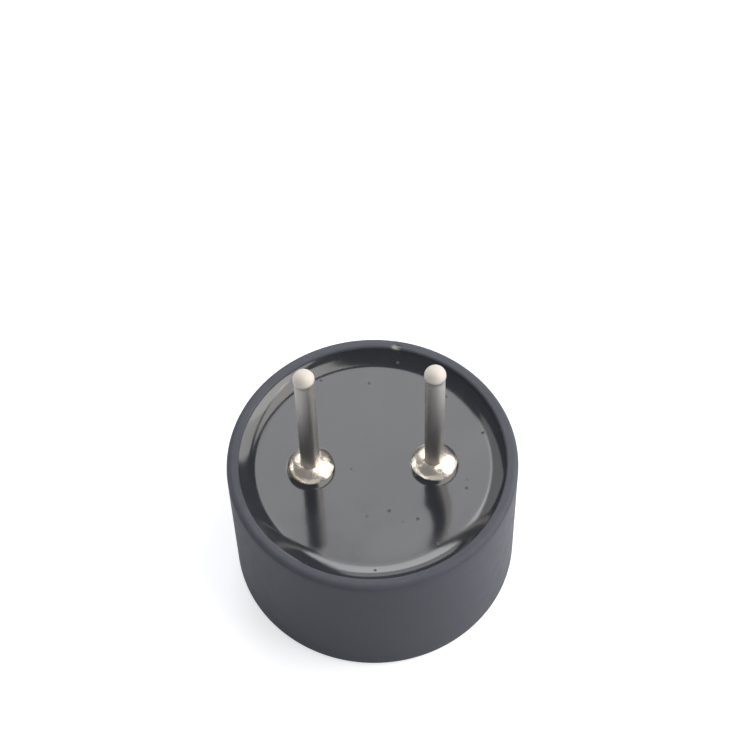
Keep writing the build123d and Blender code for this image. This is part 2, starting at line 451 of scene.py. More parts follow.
@dataclass
class TurnedPiece(ABC):
    """A piece whose shape starts as an outline turned about an upright line."""

    name: str
    node: str
    slot: str
    segments: int
    crease_angle: float = 40.0

    @abstractmethod
    def outline(self) -> list[Point]:
        """Radius and level of the half section's points, in order."""

    @abstractmethod
    def tree(self, values: Values) -> ShapeTree:
        """The Geometry Nodes tree that makes the mesh, with its inputs set to the values."""

    @abstractmethod
    def values(self) -> Values:
        """What the tree's own inputs are set to."""

    def sizes(self, *fields: str) -> Values:
        """Values of some fields, under the names that the tree gives them."""
        return {field.replace("_", " ").title(): getattr(self, field) for field in fields}

    def shaped(self, points: list[Point], material: bpy.types.Material) -> bpy.types.Object:
        """Make a closed mesh of an outline.

        Args:
            points: The half section.
            material: The finish.

        Returns:
            The object that holds the mesh.
        """
        piece = outline_object(self.name, points)
        self.tree({"Segments": self.segments, **self.values(), "Material": material}).apply_to(piece)
        face_outwards(piece.data)
        return piece

    def build(self, material: bpy.types.Material) -> bpy.types.Object:
        """Make the mesh, dress it and put it in the CAD node's place.

        Args:
            material: The finish.

        Returns:
            The piece.
        """
        piece = self.shaped(self.outline(), material)
        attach(piece, BODY)
        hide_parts(self.node)
        return piece


@dataclass
class Case(TurnedPiece):
    """Moulded cup with a sunk polarity mark and a nick in its lip."""

    name: str = "moulded_case"
    node: str = "case"
    slot: str = "case_plastic"
    segments: int = 480
    crease_angle: float = 32.0
    face_thickness: float = 1.0
    face_edge_radius: float = 0.3
    rim_edge_radius: float = 0.25
    lip_chamfer: float = 0.1
    hole_radius: float = 1.25
    hole_chamfer: float = 0.1
    ledge_width: float = 0.65
    mark_diameter: float = 2.7
    mark_inset: float = 1.9
    mark_segments: int = 96
    groove_width: float = 0.28
    groove_depth: float = 0.12
    nick_angle: float = 78.0
    nick_reach: float = 0.3
    nick_depth: float = 0.09
    nick_drop: float = 0.9
    nick_waves: float = 9.0
    nick_raggedness: float = 0.9
    nick_edge: Span = (0.55, 1.3)
    seed: int = 3

    def __post_init__(self) -> None:
        """Read the main sizes from the frame."""
        shell = Extent.of(self.node)
        self.radius = shell.radius
        self.height = shell.high.z
        self.rim_inner = Extent.of("potting_resin").radius
        self.bore = Extent.of("bonding_ring").radius
        self.seat = Extent.of("base_board").low.z
        self.ledge = Extent.of("diaphragm").low.z

    def outline(self) -> list[Point]:
        """Half section from the hole's edge round the outside and back through the bore.

        Returns:
            Radius and level of each point, in order.
        """
        chamber = self.bore - self.ledge_width
        fillet, edge = self.face_edge_radius, self.rim_edge_radius
        hole_edge = (self.hole_radius + self.hole_chamfer, 0.0)
        points = stretch(hole_edge, (self.radius - fillet, 0.0), steps=10)
        points += arc((self.radius - fillet, fillet), fillet, -90, 0, steps=8)[1:]
        points += stretch(points[-1], (self.radius, self.height - edge), steps=14)[1:]
        points += arc((self.radius - edge, self.height - edge), edge, 0, 90, steps=9)[1:]
        lip = (self.rim_inner + self.lip_chamfer, self.height - self.lip_chamfer)
        points += stretch(points[-1], (lip[0], self.height), steps=4)[1:]
        points += arc(lip, self.lip_chamfer, 90, 180, steps=5)[1:]
        points += stretch(points[-1], (self.rim_inner, self.seat), steps=6)[1:]
        points += [
            (self.bore, self.seat),
            (self.bore, self.ledge),
            (chamber, self.ledge),
            (chamber, self.face_thickness),
            (self.hole_radius, self.face_thickness),
            (self.hole_radius, self.hole_chamfer),
            hole_edge,
        ]
        return points

    def values(self) -> Values:
        """Sizes of the mark and of the nick.

        Returns:
            The values, by the names of the tree's inputs.
        """
        angle = math.radians(self.nick_angle)
        reach = self.rim_inner + self.lip_chamfer / 2
        return {
            "Centre": (0.0, 0.0, 0.0),
            "Mark Radius": self.mark_diameter / 2,
            "Mark X": self.radius - self.mark_inset,
            "Nick Centre": (reach * math.cos(angle), reach * math.sin(angle), self.height),
            **self.sizes("groove_width", "groove_depth", "nick_reach", "nick_depth", "seed"),
        }

    def tree(self, values: Values) -> ShapeTree:
        """Turned cup, nicked at the lip, with the mark cut into its face.

        Args:
            values: What the tree's inputs are set to.

        Returns:
            The tree.
        """
        graph = ShapeTree("Moulded case", values)
        cup = graph.turned()
        torn = self.nick_mask(graph)
        x, y, _ = graph.split(graph.position())
        outward = graph.vector("NORMALIZE", graph.joined(x, y, 0.0))
        push = graph.vector("ADD", outward, (0.0, 0.0, -self.nick_drop))
        depth = graph.math("MULTIPLY", torn, graph.given("Nick Depth"))
        nicked = graph.moved(cup, graph.scaled(push, depth))
        marked = graph.cut(nicked, self.mark_cutter(graph))
        # The nick's mask is stored for the finish, which paints a pale highlight over the real dent there.
        feeds = {"Geometry": marked, "Name": "torn", "Value": self.nick_mask(graph)}
        painted = graph.out("GeometryNodeStoreNamedAttribute", feeds, data_type="FLOAT", domain="POINT")
        graph.finished(painted, self.crease_angle)
        return graph

    def nick_mask(self, graph: ShapeTree) -> Socket:
        """Mask of the ragged nick.

        Args:
            graph: The case's tree.

        Returns:
            How far each point lies inside the nick, from 0 to 1.
        """
        place = graph.position()
        apart = graph.measure("LENGTH", graph.vector("SUBTRACT", place, graph.given("Nick Centre")))
        noise = graph.noise(place, self.nick_waves, graph.given("Seed"))
        ragged = graph.math("MULTIPLY", noise, self.nick_raggedness)
        reach = graph.math("ADD", graph.math("DIVIDE", apart, graph.given("Nick Reach")), ragged)
        return graph.ramp(reach, *self.nick_edge, start=1.0, end=0.0)

    def mark_cutter(self, graph: ShapeTree) -> Socket:
        """Ring and cross that reach as far below the sound face as above it.

        Args:
            graph: The case's tree.

        Returns:
            The cutter's mesh.
        """
        radius, width = graph.given("Mark Radius"), graph.given("Groove Width")
        depth = graph.math("MULTIPLY", graph.given("Groove Depth"), 2.0)
        inner = graph.math("SUBTRACT", radius, width)
        bar = graph.math("ADD", radius, inner)
        disc = {"Vertices": self.mark_segments, "Radius": radius, "Depth": depth}
        plug = disc | {"Radius": inner, "Depth": graph.math("MULTIPLY", depth, 2.0)}
        ring = graph.cut(
            graph.out("GeometryNodeMeshCylinder", disc),
            graph.out("GeometryNodeMeshCylinder", plug),
        )
        figure = graph.add("GeometryNodeMeshBoolean", operation="UNION", solver="EXACT")
        graph.feed(figure, 1, ring)
        for size in (graph.joined(bar, width, depth), graph.joined(width, bar, depth)):
            graph.feed(figure, 1, graph.out("GeometryNodeMeshCube", {"Size": size}))
        place = graph.joined(graph.given("Mark X"), 0.0, 0.0)
        feeds = {"Geometry": figure.outputs["Mesh"], "Translation": place}
        return graph.out("GeometryNodeTransform", feeds)


@dataclass
class MetalPiece(TurnedPiece):
    """A tinned or soldered piece on one terminal, slightly uneven all over.

    Where the noise is at its even level, the surface stays in place.
    """

    polarity: Polarity = Polarity.POSITIVE
    unevenness: float = 0.01
    ripple: float = 1.2
    even_level: float = 0.6
    middle_seed: int = 11

    @property
    def collar_top(self) -> float:
        """Level at which the pin's plain wall starts, as its mount says.

        Returns:
            The level, in millimetres.
        """
        mounts = {mount["name"]: mount for mount in frame["record"]["mounts"]}
        wall = mounts[f"{self.polarity.word}_terminal"]["dims"]["length_mm"]
        return Extent.of(f"{self.polarity.word}_pin").high.z - Pin.tip_radius - wall

    def values(self) -> Values:
        """Place of the terminal and how uneven the metal is.

        Returns:
            The values, by the names of the tree's inputs.
        """
        return {
            "Centre": (Extent.of(self.node).centre_x, 0.0, 0.0),
            "Seed": self.middle_seed + self.polarity.value,
            **self.sizes("unevenness", "ripple"),
        }

    def tree(self, values: Values) -> ShapeTree:
        """Turned form whose surface rises and sinks by a soft noise.

        Args:
            values: What the tree's inputs are set to.

        Returns:
            The tree.
        """
        graph = ShapeTree("Tinned form", values)
        form = graph.turned()
        noise = graph.noise(graph.position(), graph.given("Ripple"), graph.given("Seed"))
        swing = graph.math("SUBTRACT", noise, self.even_level)
        rise = graph.math("MULTIPLY", swing, graph.given("Unevenness"))
        outward = graph.out("GeometryNodeInputNormal")
        graph.finished(graph.moved(form, graph.scaled(outward, rise)), self.crease_angle)
        return graph


@dataclass
class Pin(MetalPiece):
    """Round tinned pin with a stop collar and a domed tip, which the tin thickens slightly."""

    segments: int = 96
    tip_radius: float = 0.38
    radius: float = 0.4
    bead: float = 0.03
    bead_length: float = 0.2
    unevenness: float = 0.012

    def __post_init__(self) -> None:
        """Read the lengths from the frame."""
        box = Extent.of(self.node)
        self.collar = box.radius
        self.tail, self.tip = box.low.z, box.high.z
        self.land = Extent.of(f"{self.polarity.word}_solder").low.z

    def outline(self) -> list[Point]:
        """Half section from the tail's end to the tip.

        Returns:
            Radius and level of each point, in order.
        """
        shoulder = self.tip - self.tip_radius
        neck = shoulder - self.bead_length
        points = [
            (0.0, self.tail),
            (self.radius, self.tail),
            (self.radius, self.land),
            (self.collar, self.land),
            (self.collar, self.collar_top),
            (self.radius, self.collar_top),
        ]
        points += stretch(points[-1], (self.radius, neck), steps=40)[1:]
        swelling = stretch((0.0, neck), (1.0, shoulder), steps=8)[1:]
        points += [(self.radius + self.bead * (1 - math.cos(math.pi * s)) / 2, z) for s, z in swelling]
        dome = arc((0.0, 0.0), 1.0, 0, 90, steps=16)[1:]
        middle = self.radius - self.tip_radius
        reach = self.tip_radius + self.bead
        points += [(middle + reach * x, shoulder + self.tip_radius * z) for x, z in dome]
        return points + [(0.0, self.tip)]


@dataclass
class SolderDome(MetalPiece):
    """Dome of solder that covers a pin's collar and wets its land."""

    segments: int = 144
    pin_radius: float = 0.4
    bulge_share: float = 0.19
    unevenness: float = 0.07
    ripple: float = 1.8
    plug_depth: float = 0.3
    plug_margin: float = 0.1

    def __post_init__(self) -> None:
        """Read the dome's size and its collar's from the frame, and find the centre of its arc."""
        box = Extent.of(self.node)
        self.collar = Extent.of(f"{self.polarity.word}_pin").radius
        self.top = Vector((self.pin_radius, box.high.z))
        self.foot = Vector((box.radius, box.low.z))
        run = self.top - self.foot
        bulge = self.bulge_share * run.length
        self.bend = (run.length**2 / 4 + bulge**2) / (2 * bulge)
        outward = Vector((run.y, -run.x)).normalized()
        self.middle = (self.foot + self.top) / 2 - outward * (self.bend - bulge)

    def reach(self, level: float) -> float:
        """Radius of the dome at a level."""
        return self.middle.x + math.sqrt(self.bend**2 - (level - self.middle.y) ** 2)

    def skin(self) -> list[Point]:
        """The dome's arc, from the foot to the pin.

        Returns:
            Radius and level of each point, in order.
        """
        ends = (self.foot - self.middle, self.top - self.middle)
        start, end = (math.degrees(math.atan2(spoke.y, spoke.x)) for spoke in ends)
        return arc(tuple(self.middle), self.bend, start, end, steps=34)

    def outline(self) -> list[Point]:
        """Half section of the dome with the room for the pin's collar in it.

        Returns:
            Radius and level of each point, in order.
        """
        return self.skin() + [
            (self.pin_radius, self.collar_top),
            (self.collar, self.collar_top),
            (self.collar, self.foot.y),
            tuple(self.foot),
        ]

    def plug(self) -> list[Point]:
        """Half section of the room that the dome takes in the resin."""
        low, wide = self.foot.y - self.plug_depth, self.foot.x + self.plug_margin
        return [(0.0, low), (wide, low), (wide, self.foot.y)] + self.skin() + [(0.0, self.top.y)]


@dataclass
class ResinPool(TurnedPiece):
    """Cured resin that climbs the case's wall and the solder, with pits from burst bubbles."""

    name: str = "potting_pool"
    node: str = "potting_resin"
    slot: str = "resin"
    segments: int = 420
    crease_angle: float = 50.0
    cover: float = 0.4
    creep_width: float = 0.85
    wave_height: float = 0.006
    wave_size: float = 3.5
    pit_density: float = 0.18
    pit_radius: float = 0.26
    pit_depth: float = 0.0005
    pit_waves: float = 2.5
    pit_least: float = 0.35
    foot_rise: float = 0.03
    foot_spread: float = 0.2
    foot_shift: Point = (0.0, -0.15)
    foot_cap: float = 1.35
    swell_angle: float = -38.0
    swell_height: float = 0.07
    swell_span: Span = (2.9, 4.7)
    swell_facing: Span = (0.45, 0.95)
    seed: int = 5

    def __post_init__(self) -> None:
        """Read the pool's place from the frame."""
        box = Extent.of(self.node)
        self.radius, self.base, self.contact = box.radius, box.low.z, box.high.z
        self.level = self.base + self.cover
        self.plugs: dict[str, bpy.types.Object] = {}

    def outline(self) -> list[Point]:
        """Half section from the middle of the surface to the wall and back along the base.

        Returns:
            Radius and level of each point, in order.
        """
        flat_end = (self.radius - self.creep_width, self.level)
        rise = self.contact - self.level
        bend = (self.creep_width**2 + rise**2) / (2 * rise)
        steep = math.degrees(2 * math.atan2(rise, self.creep_width))
        points = stretch((0.0, self.level), flat_end, steps=84)
        points += arc((flat_end[0], self.level + bend), bend, -90, -90 + steep, steps=26)[1:]
        return points + [(self.radius, self.base), (0.0, self.base)]

    def values(self) -> Values:
        """Sizes of the waves, the pits, the swell and the creep at the domes' feet.

        Returns:
            The values, by the names of the tree's inputs.
        """
        angle = math.radians(self.swell_angle)
        dome = SolderDome("dome", "positive_solder", "solder")
        return {
            "Centre": (0.0, 0.0, 0.0),
            "Dome X": Extent.of(dome.node).centre_x,
            "Foot Shift": (*self.foot_shift, 0.0),
            "Foot Reach": dome.reach(self.level) + self.foot_spread / 2,
            "Swell Side": (math.cos(angle), math.sin(angle), 0.0),
            "Swell Start": self.swell_span[0],
            "Swell End": self.swell_span[1],
            **self.sizes(
                "level", "base", "foot_spread", "foot_rise", "foot_cap", "swell_height", "wave_height",
                "wave_size", "pit_density", "pit_radius", "pit_depth", "seed",
            ),
            **self.plugs,
        }

    def tree(self, values: Values) -> ShapeTree:
        """Turned pool, waved, pitted and swollen at one side; the domes are then cut out of it.

        Args:
            values: What the tree's inputs are set to.

        Returns:
            The tree.
        """
        graph = ShapeTree("Resin pool", values)
        pool = graph.turned()
        place = graph.position()
        z = graph.split(place)[2]
        middle = graph.math("MULTIPLY", graph.math("ADD", graph.given("Level"), graph.given("Base")), 0.5)
        is_top = graph.math("GREATER_THAN", z, middle)
        wave_scale = graph.math("DIVIDE", 1.0, graph.given("Wave Size"))
        noise = graph.noise(place, wave_scale, graph.given("Seed"))
        wave = graph.math("SUBTRACT", noise, NOISE_MIDDLE)
        lift = graph.math("MULTIPLY", wave, graph.math("MULTIPLY", graph.given("Wave Height"), 2.0))
        lift = graph.math("ADD", lift, self.swell(graph, place))
        for polarity in Polarity:
            lift = graph.math("ADD", lift, self.foot_creep(graph, place, polarity))
        lift = graph.math("SUBTRACT", lift, self.pits(graph, pool, place, is_top))
        lift = graph.math("MULTIPLY", lift, is_top)
        shaped = graph.moved(pool, graph.joined(0.0, 0.0, lift))
        for plug in self.plugs:
            info = graph.out("GeometryNodeObjectInfo", {"Object": graph.given(plug)}, "Geometry")
            room = graph.out("GeometryNodeTransform", {"Geometry": info, "Scale": (1 / MM, 1 / MM, 1 / MM)})
            shaped = graph.cut(shaped, room)
        graph.finished(shaped, self.crease_angle)
        return graph

    def swell(self, graph: ShapeTree, place: Socket) -> Socket:
        """Extra rise towards the wall on the side where more resin ran.

        Args:
            graph: The resin's tree.
            place: Each point's place.

        Returns:
            The rise at each point.
        """
        x, y, _ = graph.split(place)
        flat = graph.joined(x, y, 0.0)
        facing = graph.measure("DOT_PRODUCT", graph.vector("NORMALIZE", flat), graph.given("Swell Side"))
        apart = graph.measure("LENGTH", flat)
        outward = graph.ramp(apart, graph.given("Swell Start"), graph.given("Swell End"))
        share = graph.math("MULTIPLY", graph.ramp(facing, *self.swell_facing), outward)
        return graph.math("MULTIPLY", share, graph.given("Swell Height"))

    def foot_creep(self, graph: ShapeTree, place: Socket, polarity: Polarity) -> Socket:
        """Rise of the surface at the foot of one dome, wider towards one side.

        Args:
            graph: The resin's tree.
            place: Each point's place.
            polarity: The terminal that the dome is on.

        Returns:
            The rise at each point.
        """
        dome_x = graph.math("MULTIPLY", graph.given("Dome X"), float(polarity.value))
        centre = graph.vector("ADD", graph.joined(dome_x, 0.0, 0.0), graph.given("Foot Shift"))
        x, y, _ = graph.split(graph.vector("SUBTRACT", place, centre))
        apart = graph.measure("LENGTH", graph.joined(x, y, 0.0))
        inside = graph.math("SUBTRACT", graph.given("Foot Reach"), apart)
        share = graph.math("DIVIDE", graph.math("MAXIMUM", inside, 0.0), graph.given("Foot Spread"))
        share = graph.math("MINIMUM", share, graph.given("Foot Cap"))
        return graph.math("MULTIPLY", graph.math("POWER", share, 2.0), graph.given("Foot Rise"))

    def pits(self, graph: ShapeTree, pool: Socket, place: Socket, is_top: Socket) -> Socket:
        """Depth of the scattered pits at each point.

        Args:
            graph: The resin's tree.
            pool: The pool's mesh before it is shaped.
            place: Each point's place.
            is_top: 1 on the open surface.

        Returns:
            The depth at each point.
        """
        feeds = {
            "Mesh": pool,
            "Selection": is_top,
            "Density": graph.given("Pit Density"),
            "Seed": graph.given("Seed"),
        }
        spots = graph.out("GeometryNodeDistributePointsOnFaces", feeds)
        near = graph.out("GeometryNodeProximity", {"Geometry": spots}, "Distance", target_element="POINTS")
        noise = graph.noise(place, self.pit_waves, graph.given("Seed"))
        ragged = graph.math("ADD", noise, self.pit_least)
        reach = graph.math("MULTIPLY", graph.given("Pit Radius"), ragged)
        return graph.ramp(near, 0.0, reach, graph.given("Pit Depth"), 0.0)

    def build(self, material: bpy.types.Material) -> bpy.types.Object:
        """Cut the room for the domes with plugs of their own shape, and build as any piece.

        Args:
            material: The finish.

        Returns:
            The piece.
        """
        for polarity in Polarity:
            word = polarity.word
            dome = SolderDome(f"{word}_plug", f"{word}_solder", "solder", polarity=polarity)
            self.plugs[f"{word.title()} Plug"] = dome.shaped(dome.plug(), material)
        piece = super().build(material)
        for plug in self.plugs.values():
            bpy.data.objects.remove(plug)
        return piece


class EffectLibrary:
    """Shader node groups of the shared effects, each built once."""

    PEBBLE_SHARE = 0.6
    FINE_GRAIN = 1.7
    DUST_PATCH = 0.12

    def __init__(self) -> None:
        """Build every group."""
        self.groups = {
            Effect.GRAIN: self.grain(),
            Effect.DUST: self.dust(),
            Effect.TARNISH: self.tarnish(),
        }

    def open(self, effect: Effect, inputs: tuple[str, ...], outputs: tuple[str, ...]) -> GroupTree:
        """Start a group with a place input, number inputs and number outputs.

        Args:
            effect: The effect that it makes.
            inputs: Names of its number inputs.
            outputs: Names of its outputs.

        Returns:
            The open group.
        """
        sockets = {"Place": "NodeSocketVector", **dict.fromkeys(inputs, "NodeSocketFloat")}
        return GroupTree(effect.value, "ShaderNodeTree", sockets, dict.fromkeys(outputs, "NodeSocketFloat"))

    def grain(self) -> bpy.types.NodeTree:
        """Pebbled grain of a spark-eroded mould, with broad mottling.

        Returns:
            The group.
        """
        graph = self.open(Effect.GRAIN, ("Scale", "Mottle Scale"), ("Height", "Mottle"))
        place, scale = graph.given("Place"), graph.given("Scale")
        pebble = graph.out("ShaderNodeTexVoronoi", {"Vector": place, "Scale": scale}, "Distance")
        fine = graph.noise(place, graph.math("MULTIPLY", scale, self.FINE_GRAIN), seed=2.0, detail=3.0)
        graph.give("Height", graph.math("ADD", graph.math("MULTIPLY", pebble, self.PEBBLE_SHARE), fine))
        broad = graph.noise(place, graph.given("Mottle Scale"), seed=7.0, detail=4.0)
        graph.give("Mottle", graph.ramp(broad, low=0.3, high=0.7))
        return graph.tree

    def dust(self) -> bpy.types.NodeTree:
        """Small settled specks, more of them where a broad noise is high.

        Returns:
            The group.
        """
        graph = self.open(Effect.DUST, ("Scale", "Reach"), ("Mask",))
        place, scale = graph.given("Place"), graph.given("Scale")
        cells = graph.add("ShaderNodeTexVoronoi", {"Vector": place, "Scale": scale}).outputs
        speck = graph.ramp(cells["Distance"], 0.0, graph.given("Reach"), start=1.0, end=0.0)
        pick = graph.out("ShaderNodeSeparateColor", {0: cells["Color"]})
        patch = graph.noise(place, graph.math("MULTIPLY", scale, self.DUST_PATCH), seed=5.0)
        chosen = graph.ramp(graph.math("ADD", pick, patch), low=1.05, high=1.25)
        graph.give("Mask", graph.math("MULTIPLY", speck, chosen))
        return graph.tree

    def tarnish(self) -> bpy.types.NodeTree:
        """Cloudy tarnish on metal, with a finer crystalline height.

        Returns:
            The group.
        """
        graph = self.open(Effect.TARNISH, ("Scale", "Fineness"), ("Mask", "Height"))
        place, scale = graph.given("Place"), graph.given("Scale")
        cloud = graph.noise(place, scale, seed=1.0, detail=5.0)
        graph.give("Mask", graph.ramp(cloud, low=0.38, high=0.72))
        fine = graph.math("MULTIPLY", scale, graph.given("Fineness"))
        graph.give("Height", graph.noise(place, fine, seed=4.0, detail=3.0))
        return graph.tree

    def place(self, graph: Graph, effect: Effect, values: Values) -> bpy.types.bpy_prop_collection:
        """Put an effect into a material.

        Args:
            graph: The material's graph.
            effect: Which effect.
            values: Its inputs, the place among them.

        Returns:
            The outputs of the group's node, by name.
        """
        return graph.add("ShaderNodeGroup", values, node_tree=self.groups[effect]).outputs


@dataclass(frozen=True)
class Finish(ABC):
    """A surface finish that makes its own material."""

    slot: str

    def material(self, effects: EffectLibrary) -> bpy.types.Material:
        """Make the material.

        Args:
            effects: The shared effects.

        Returns:
            The material.
        """
        material = bpy.data.materials.new(self.slot)
        material.use_nodes = True
        graph = Graph(material.node_tree)
        graph.tree.nodes.clear()
        shader = graph.add("ShaderNodeBsdfPrincipled")
        graph.add("ShaderNodeOutputMaterial", {"Surface": shader.outputs["BSDF"]})
        self.lay(graph, shader, graph.out("ShaderNodeTexCoord", socket="Object"), effects)
        return material

    @abstractmethod
    def lay(self, graph: Graph, shader: bpy.types.Node, place: Socket, effects: EffectLibrary) -> None:
        """Lay the nodes that feed the shader.

        Args:
            graph: The material's graph.
            shader: Its Principled shader.
            place: Object coordinates.
            effects: The shared effects.
        """

    def bump(self, graph: Graph, shader: bpy.types.Node, height: Socket, depth: float) -> None:
        """Feed the shader's normal from a height.

        Args:
            graph: The material's graph.
            shader: Its Principled shader.
            height: The height, from 0 to 1.
            depth: What a height of 1 stands for, in millimetres.
        """
        feeds = {"Height": height, "Distance": depth * MM, "Strength": 1.0}
        graph.feed(shader, "Normal", graph.out("ShaderNodeBump", feeds))


@dataclass(frozen=True)
class MouldedPlastic(Finish):
    """Matt plastic with a moulded grain, light dust and a pale painted highlight on the nick."""

    dark: Colour
    light: Colour
    dust: Colour = (0.10, 0.102, 0.108)
    # Pale colour on the nick: a painted highlight.
    torn: Colour = (0.42, 0.41, 0.37)
    grain_size: float = 0.07
    grain_depth: float = 0.004
    grains_per_mottle: float = 9.0
    grains_per_speck: float = 2.0
    speck_reach: float = 0.25
    roughness: Span = (0.38, 0.43)
    gloss_level: float = 0.12

    def lay(self, graph: Graph, shader: bpy.types.Node, place: Socket, effects: EffectLibrary) -> None:
        """Mottled colour, dust, a painted highlight on the nick, and grain.

        Args:
            graph: The material's graph.
            shader: Its Principled shader.
            place: Object coordinates.
            effects: The shared effects.
        """
        scale = 1 / (self.grain_size * MM)
        values = {"Place": place, "Scale": scale, "Mottle Scale": scale / self.grains_per_mottle}
        grain = effects.place(graph, Effect.GRAIN, values)
        values = {"Place": place, "Scale": scale / self.grains_per_speck, "Reach": self.speck_reach}
        dust = effects.place(graph, Effect.DUST, values)
        colour = graph.blend(grain["Mottle"], self.dark, self.light)
        colour = graph.blend(dust["Mask"], colour, self.dust)
        # Where the nick's mask is set, the colour turns pale: a painted highlight on the real dent.
        torn = graph.out("ShaderNodeAttribute", socket="Fac", attribute_name="torn")
        graph.feed(shader, "Base Color", graph.blend(torn, colour, self.torn))
        graph.feed(shader, "Roughness", graph.ramp(grain["Mottle"], 0.0, 1.0, *self.roughness))
        graph.feed(shader, "Specular IOR Level", self.gloss_level)
        self.bump(graph, shader, grain["Height"], self.grain_depth)


@dataclass(frozen=True)
class CuredResin(Finish):
    """Glossy black epoxy with a little dust and uneven gloss; its patterns have waves per metre."""

    dark: Colour = (0.016, 0.0175, 0.0225)
    light: Colour = (0.020, 0.0215, 0.0265)
    dust: Colour = (0.05, 0.05, 0.05)
    cloud_waves: float = 700.0
    fineness: float = 6.0
    depth: float = 0.0008
    speck_waves: float = 1500.0
    speck_reach: float = 0.16
    ior: float = 1.65
    roughness: Span = (0.10, 0.14)

    def lay(self, graph: Graph, shader: bpy.types.Node, place: Socket, effects: EffectLibrary) -> None:
        """Cloudy gloss and faint dust.

        Args:
            graph: The material's graph.
            shader: Its Principled shader.
            place: Object coordinates.
            effects: The shared effects.
        """
        values = {"Place": place, "Scale": self.cloud_waves, "Fineness": self.fineness}
        tarnish = effects.place(graph, Effect.TARNISH, values)
        values = {"Place": place, "Scale": self.speck_waves, "Reach": self.speck_reach}
        dust = effects.place(graph, Effect.DUST, values)
        colour = graph.blend(tarnish["Mask"], self.dark, self.light)
        graph.feed(shader, "Base Color", graph.blend(dust["Mask"], colour, self.dust))
        gloss = graph.ramp(tarnish["Mask"], 0.0, 1.0, *self.roughness)
        graph.feed(shader, "Roughness", graph.math("ADD", gloss, dust["Mask"]))
        graph.feed(shader, "IOR", self.ior)
        self.bump(graph, shader, tarnish["Height"], self.depth)


@dataclass(frozen=True)
class TarnishedMetal(Finish):
    """Bare or tinned metal with cloudy tarnish, drawn lines along Z and a paler, matt top end that is a
    painted highlight.
    """

    bright: Colour
    dull: Colour
    cloud_size: float = 0.8
    fineness: float = 7.0
    depth: float = 0.003
    drawn: float = 1.0
    roughness: Span = (0.12, 0.3)
    # Levels, in millimetres, where the top end turns paler and matt: a painted highlight where the lamps
    # above light the tip.
    dipped: Span | None = None
    dip: Colour = (0.74, 0.705, 0.655)
    dip_roughness: float = 0.86

    def lay(self, graph: Graph, shader: bpy.types.Node, place: Socket, effects: EffectLibrary) -> None:
        """Tarnish in colour and gloss, over drawn lines or crystals.

        Args:
            graph: The material's graph.
            shader: Its Principled shader.
            place: Object coordinates.
            effects: The shared effects.
        """
        along = graph.out("ShaderNodeMapping", {"Vector": place, "Scale": (1.0, 1.0, 1 / self.drawn)})
        values = {"Place": along, "Scale": 1 / (self.cloud_size * MM), "Fineness": self.fineness}
        tarnish = effects.place(graph, Effect.TARNISH, values)
        colour = graph.blend(tarnish["Mask"], self.bright, self.dull)
        roughness = graph.ramp(tarnish["Mask"], 0.0, 1.0, *self.roughness)
        # Paler, matter colour towards the top end: a painted highlight.
        if self.dipped:
            level = graph.split(place)[2]
            tip = graph.ramp(level, self.dipped[0] * MM, self.dipped[1] * MM)
            colour = graph.blend(tip, colour, self.dip)
            roughness = graph.ramp(tip, 0.0, 1.0, roughness, self.dip_roughness)
        graph.feed(shader, "Base Color", colour)
        graph.feed(shader, "Roughness", roughness)
        graph.feed(shader, "Metallic", 1.0)
        self.bump(graph, shader, tarnish["Height"], self.depth)


@dataclass(frozen=True)
class FilledSolid(Finish):
    """Ceramic, rubber or laminate: a mottled body with a fine surface."""

    dark: Colour
    light: Colour
    grain_size: float
    grain_depth: float
    roughness: Span
    weave_size: float = 0.0
    grains_per_mottle: float = 6.0

    def lay(self, graph: Graph, shader: bpy.types.Node, place: Socket, effects: EffectLibrary) -> None:
        """Mottled colour with grain, and crossing threads where there is a weave.

        Args:
            graph: The material's graph.
            shader: Its Principled shader.
            place: Object coordinates.
            effects: The shared effects.
        """
        scale = 1 / (self.grain_size * MM)
        values = {"Place": place, "Scale": scale, "Mottle Scale": scale / self.grains_per_mottle}
        grain = effects.place(graph, Effect.GRAIN, values)
        mottle, height = grain["Mottle"], grain["Height"]
        if self.weave_size:
            x, y, _ = graph.split(place)
            turn = math.tau / (self.weave_size * MM)
            warp = graph.math("SINE", graph.math("MULTIPLY", x, turn))
            weft = graph.math("SINE", graph.math("MULTIPLY", y, turn))
            threads = graph.ramp(graph.math("MULTIPLY", warp, weft), -1.0, 1.0)
            mottle = graph.math("MULTIPLY", graph.math("ADD", mottle, threads), 0.5)
            height = graph.math("ADD", height, threads)
        graph.feed(shader, "Base Color", graph.blend(mottle, self.dark, self.light))
        graph.feed(shader, "Roughness", graph.ramp(mottle, 0.0, 1.0, *self.roughness))
        self.bump(graph, shader, height, self.grain_depth)


